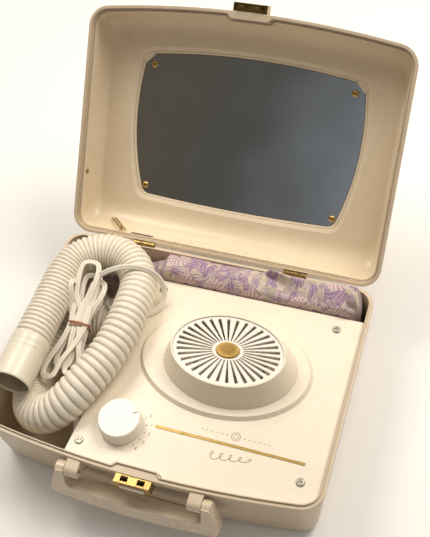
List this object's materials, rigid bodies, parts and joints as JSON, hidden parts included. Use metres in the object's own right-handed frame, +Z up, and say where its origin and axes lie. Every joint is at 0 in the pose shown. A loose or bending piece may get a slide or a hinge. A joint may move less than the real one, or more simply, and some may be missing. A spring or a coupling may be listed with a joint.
{
  "type": "portable bonnet hair dryer",
  "caption": "Portable bonnet hair dryer in a hinged carrying case: blower, control knob, ribbed hose, folded bonnet, lid with mirror, swinging handle and latch.",
  "frame": {"origin": "on the flat underside of the case's base, midway between the side walls and midway between the back wall and the front corners", "axes": "+Z up, +X to the right of someone facing the handle and latch, -Y towards that person, the lid's hinge along X at the back"},
  "size_m": [0.34, 0.4644, 0.2808],
  "materials": {
    "shell_ivory": "moulded plastic, slightly grained, warm ivory",
    "liner_tan": "moulded plastic, warm cream tan",
    "panel_ivory": "moulded plastic, satin ivory",
    "divider_ivory": "plain moulded plastic",
    "grille_ivory": "moulded plastic, bright ivory",
    "knob_ivory": "moulded plastic, polished",
    "trim_gold": "gold-coloured foil and stamped metal",
    "screw_steel": "aged steel screws",
    "hardware_brass": "plated brass hardware, dulled",
    "button_cream": "pale catch plate",
    "hose_vinyl": "ribbed flexible vinyl over a wire helix",
    "cuff_vinyl": "smooth soft vinyl",
    "lead_vinyl": "flat two-core vinyl lead",
    "band_rubber": "pinkish brown rubber band",
    "bonnet_print": "cream cloth with a lilac flower print",
    "mirror_glass": "silvered glass",
    "card_brown": "grey-brown card",
    "inner_plastic": "plain moulded plastic, out of sight",
    "inner_steel": "plain steel",
    "mica": "mica board",
    "heater_wire": "resistance wire",
    "switch_dark": "dark moulded switch body"
  },
  "bodies": {
    "base": {"base_shell": "shell_ivory", "compartment_divider": "divider_ivory", "faceplate": "panel_ivory", "faceplate_screws": "screw_steel", "trim_stripe": "trim_gold", "intake_dome": "panel_ivory", "intake_grille": "grille_ivory", "medallion": "trim_gold", "rotary_switch": "switch_dark", "blower_scroll": "inner_plastic", "scroll_cover": "inner_plastic", "motor_stator": "inner_steel", "motor_bearings": "inner_steel", "motor_posts": "inner_steel", "heater_duct": "inner_steel", "heater_frame": "mica", "heater_coil": "heater_wire", "thermostat": "inner_steel", "outlet_spigot": "inner_plastic", "hose": "hose_vinyl", "hose_collar": "cuff_vinyl", "hose_cuff": "cuff_vinyl", "strain_relief": "lead_vinyl", "mains_lead": "lead_vinyl", "lead_hank": "lead_vinyl", "rubber_band": "band_rubber", "mains_plug": "lead_vinyl", "bonnet": "bonnet_print", "handle_brackets": "shell_ivory", "handle_pins": "hardware_brass", "latch_housing": "hardware_brass", "latch_spring": "inner_steel", "hinge_leaves_base": "hardware_brass", "hinge_pins": "hardware_brass"},
    "lid": {"lid_shell": "shell_ivory", "lid_liner": "liner_tan", "mirror": "mirror_glass", "mirror_backing": "card_brown", "mirror_screws": "hardware_brass", "mirror_clips": "liner_tan", "lid_latch": "hardware_brass", "lid_hooks": "hardware_brass", "lid_latch_rivets": "hardware_brass", "lid_stop_arm": "hardware_brass", "lid_eyelet": "hardware_brass", "hinge_leaves_lid": "hardware_brass"},
    "handle": {"handle": "shell_ivory"},
    "knob": {"control_knob": "knob_ivory", "switch_shaft": "inner_steel"},
    "fan": {"fan_impeller": "inner_plastic", "motor_shaft": "inner_steel", "motor_rotor": "inner_steel"},
    "latch": {"latch_button": "button_cream"}
  },
  "joints": [
    {"name": "lid_hinge", "type": "hinge", "parent": "base", "child": "lid", "pos_m": [0, 0.12, 0.08], "axis": [1, 0, 0], "range_deg": [0, 130]},
    {"name": "handle_pivot", "type": "hinge", "parent": "base", "child": "handle", "pos_m": [0, -0.139, 0.071], "axis": [-1, 0, 0], "range_deg": [0, 150]},
    {"name": "knob_turn", "type": "hinge", "parent": "base", "child": "knob", "pos_m": [-0.031, -0.0855, 0.076], "axis": [0, 0, -1], "range_deg": [0, 74]},
    {"name": "fan_spin", "type": "hinge", "parent": "base", "child": "fan", "pos_m": [0.05, 0.002, 0.04], "axis": [0, 0, 1], "continuous": true},
    {"name": "latch_press", "type": "slide", "parent": "base", "child": "latch", "axis": [0, 1, 0], "range_m": [0, 0.0025], "stiffness_N_per_m": 400, "deforming": ["latch_spring"]}
  ]
}
